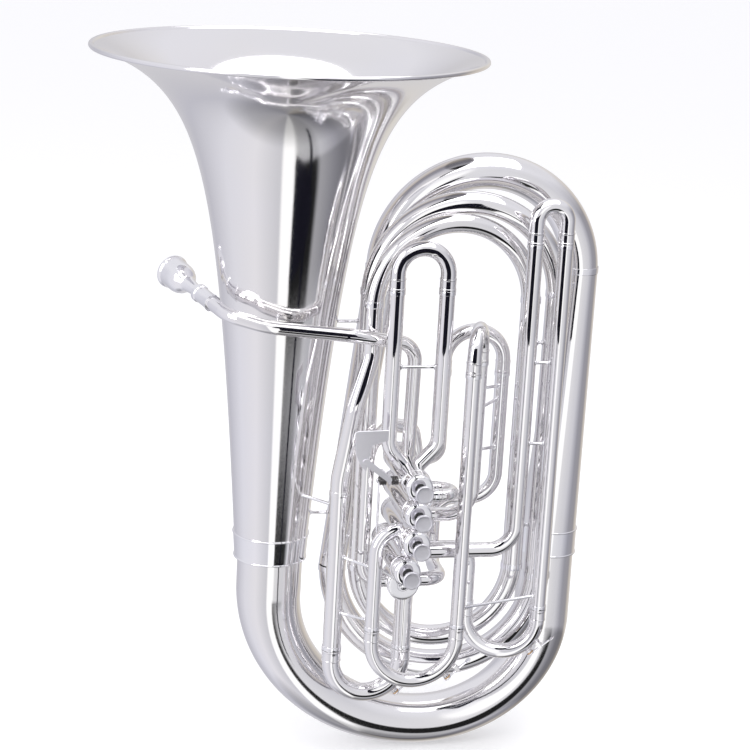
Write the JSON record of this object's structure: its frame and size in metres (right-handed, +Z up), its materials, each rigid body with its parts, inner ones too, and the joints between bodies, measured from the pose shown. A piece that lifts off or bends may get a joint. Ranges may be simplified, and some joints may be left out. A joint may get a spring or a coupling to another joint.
{
  "type": "tuba",
  "caption": "Upright front-action tuba: flared bell, coiled conical branches, round-button pistons, a thumb-lever rotary valve, pull-out tuning slides and water keys.",
  "frame": {"origin": "Lowest point of the outside of the bottom bow, where the tuba rests on a seat, a lap or a stand.", "axes": "+Z up along the bell to its mouth, -Y the way the pistons point, +X from the bell to the outer branch."},
  "size_m": [0.646, 0.48, 0.91],
  "materials": {
    "silver_plate": "mirror-polished silver plate on brass",
    "bright_silver": "bright silver plate on nickel silver and brass",
    "spring_steel": "dark spring steel wire"
  },
  "bodies": {
    "instrument": {"bell": "silver_plate", "bottom_bow": "silver_plate", "bow_joint_ferrules": "bright_silver", "outer_branch": "silver_plate", "top_bow": "silver_plate", "inner_branch": "silver_plate", "second_bow": "silver_plate", "straight_branches": "silver_plate", "middle_top_bow": "silver_plate", "inner_bottom_bow": "silver_plate", "inner_top_bow": "silver_plate", "bow_ferrules": "bright_silver", "tuning_branch": "silver_plate", "leadpipe": "silver_plate", "mouthpiece_receiver": "bright_silver", "valve_casing_1": "silver_plate", "valve_casing_2": "silver_plate", "valve_casing_3": "silver_plate", "valve_casing_4": "silver_plate", "valve_knuckles": "bright_silver", "top_caps": "bright_silver", "bottom_caps": "bright_silver", "piston_spring_1": "spring_steel", "piston_spring_2": "spring_steel", "piston_spring_3": "spring_steel", "piston_spring_4": "spring_steel", "valve_1_legs": "silver_plate", "valve_2_legs": "silver_plate", "valve_3_legs": "silver_plate", "valve_4_legs": "silver_plate", "valve_5_loop": "silver_plate", "leg_ferrules": "bright_silver", "rotary_casing": "silver_plate", "rotary_cap": "bright_silver", "lever_bracket": "bright_silver", "lever_springs": "spring_steel", "braces": "bright_silver"},
    "piston_body_1": {"piston_1": "bright_silver", "button_1": "bright_silver"},
    "piston_body_2": {"piston_2": "bright_silver", "button_2": "bright_silver"},
    "piston_body_3": {"piston_3": "bright_silver", "button_3": "bright_silver"},
    "piston_body_4": {"piston_4": "bright_silver", "button_4": "bright_silver"},
    "slide_1_body": {"slide_1": "silver_plate"},
    "slide_2_body": {"slide_2": "silver_plate"},
    "slide_3_upper_body": {"slide_3_upper": "silver_plate"},
    "slide_3_lower_body": {"slide_3_lower": "silver_plate"},
    "slide_4_upper_body": {"slide_4_upper": "silver_plate"},
    "slide_4_lower_body": {"slide_4_lower": "silver_plate"},
    "slide_5_body": {"slide_5": "silver_plate"},
    "main_slide_body": {"main_slide": "silver_plate"},
    "rotor_body": {"rotor": "bright_silver"},
    "lever_body": {"thumb_lever": "bright_silver"},
    "rod_body": {"link_rod": "bright_silver"},
    "mouthpiece_body": {"mouthpiece": "bright_silver"},
    "key_main_body": {"water_key_main": "bright_silver"},
    "key_3_body": {"water_key_3": "bright_silver"},
    "key_4_body": {"water_key_4": "bright_silver"}
  },
  "joints": [
    {"name": "piston_1_stroke", "type": "slide", "parent": "instrument", "child": "piston_body_1", "axis": [0, 1, 0], "range_m": [0, 0.018], "stiffness_N_per_m": 220, "springref_m": -0.018, "deforming": ["piston_spring_1"]},
    {"name": "piston_2_stroke", "type": "slide", "parent": "instrument", "child": "piston_body_2", "axis": [0, 1, 0], "range_m": [0, 0.018], "stiffness_N_per_m": 220, "springref_m": -0.018, "deforming": ["piston_spring_2"]},
    {"name": "piston_3_stroke", "type": "slide", "parent": "instrument", "child": "piston_body_3", "axis": [0, 1, 0], "range_m": [0, 0.018], "stiffness_N_per_m": 220, "springref_m": -0.018, "deforming": ["piston_spring_3"]},
    {"name": "piston_4_stroke", "type": "slide", "parent": "instrument", "child": "piston_body_4", "axis": [0, 1, 0], "range_m": [0, 0.018], "stiffness_N_per_m": 220, "springref_m": -0.018, "deforming": ["piston_spring_4"]},
    {"name": "slide_1_pull", "type": "slide", "parent": "instrument", "child": "slide_1_body", "axis": [0, 0, 1], "range_m": [0, 0.06]},
    {"name": "slide_2_pull", "type": "slide", "parent": "instrument", "child": "slide_2_body", "axis": [1, 0, 0], "range_m": [0, 0.01]},
    {"name": "slide_3_upper_pull", "type": "slide", "parent": "instrument", "child": "slide_3_upper_body", "axis": [0, 0, 1], "range_m": [0, 0.055]},
    {"name": "slide_3_lower_pull", "type": "slide", "parent": "instrument", "child": "slide_3_lower_body", "axis": [0, 0, -1], "range_m": [0, 0.06]},
    {"name": "slide_4_upper_pull", "type": "slide", "parent": "instrument", "child": "slide_4_upper_body", "axis": [0, 0, 1], "range_m": [0, 0.06]},
    {"name": "slide_4_lower_pull", "type": "slide", "parent": "instrument", "child": "slide_4_lower_body", "axis": [0, 0, -1], "range_m": [0, 0.026]},
    {"name": "slide_5_pull", "type": "slide", "parent": "instrument", "child": "slide_5_body", "axis": [0, 0, 1], "range_m": [0, 0.05]},
    {"name": "main_slide_pull", "type": "slide", "parent": "instrument", "child": "main_slide_body", "axis": [0, 0, -1], "range_m": [0, 0.04]},
    {"name": "mouthpiece_pull", "type": "slide", "parent": "instrument", "child": "mouthpiece_body", "axis": [-0.3847, 0.9051, 0.181], "range_m": [0, 0.024]},
    {"name": "thumb_lever_press", "type": "hinge", "parent": "instrument", "child": "lever_body", "pos_m": [-0.0914, -0.146, 0.414], "axis": [-1, 0, 0], "range_deg": [0, 24], "stiffness_Nm_per_rad": 0.25, "springref_deg": -22.92},
    {"name": "link_rod_travel", "type": "slide", "parent": "instrument", "child": "rod_body", "axis": [0, 0, -1], "range_m": [0, 0.0146]},
    {"name": "rotor_turn", "type": "hinge", "parent": "instrument", "child": "rotor_body", "pos_m": [-0.056, -0.084, 0.262], "axis": [0, -1, 0], "range_deg": [0, 90]},
    {"name": "water_key_main_open", "type": "hinge", "parent": "main_slide_body", "child": "key_main_body", "pos_m": [-0.04144, -0.084, 0.12076], "axis": [0, -1, 0], "range_deg": [0, 18], "stiffness_Nm_per_rad": 0.02, "springref_deg": -28.65},
    {"name": "water_key_3_open", "type": "hinge", "parent": "slide_3_lower_body", "child": "key_3_body", "pos_m": [0.01381, -0.126, 0.15749], "axis": [0, -1, 0], "range_deg": [0, 18], "stiffness_Nm_per_rad": 0.02, "springref_deg": -28.65},
    {"name": "water_key_4_open", "type": "hinge", "parent": "slide_4_lower_body", "child": "key_4_body", "pos_m": [0.13012, -0.09565, 0.17218], "axis": [-0.2604, -0.9655, 0], "range_deg": [0, 18], "stiffness_Nm_per_rad": 0.02, "springref_deg": -28.65}
  ],
  "couplings": [
    {"joint": "link_rod_travel", "follows": "thumb_lever_press", "m_per_rad": 0.034855},
    {"joint": "rotor_turn", "follows": "thumb_lever_press", "ratio": 3.75}
  ]
}
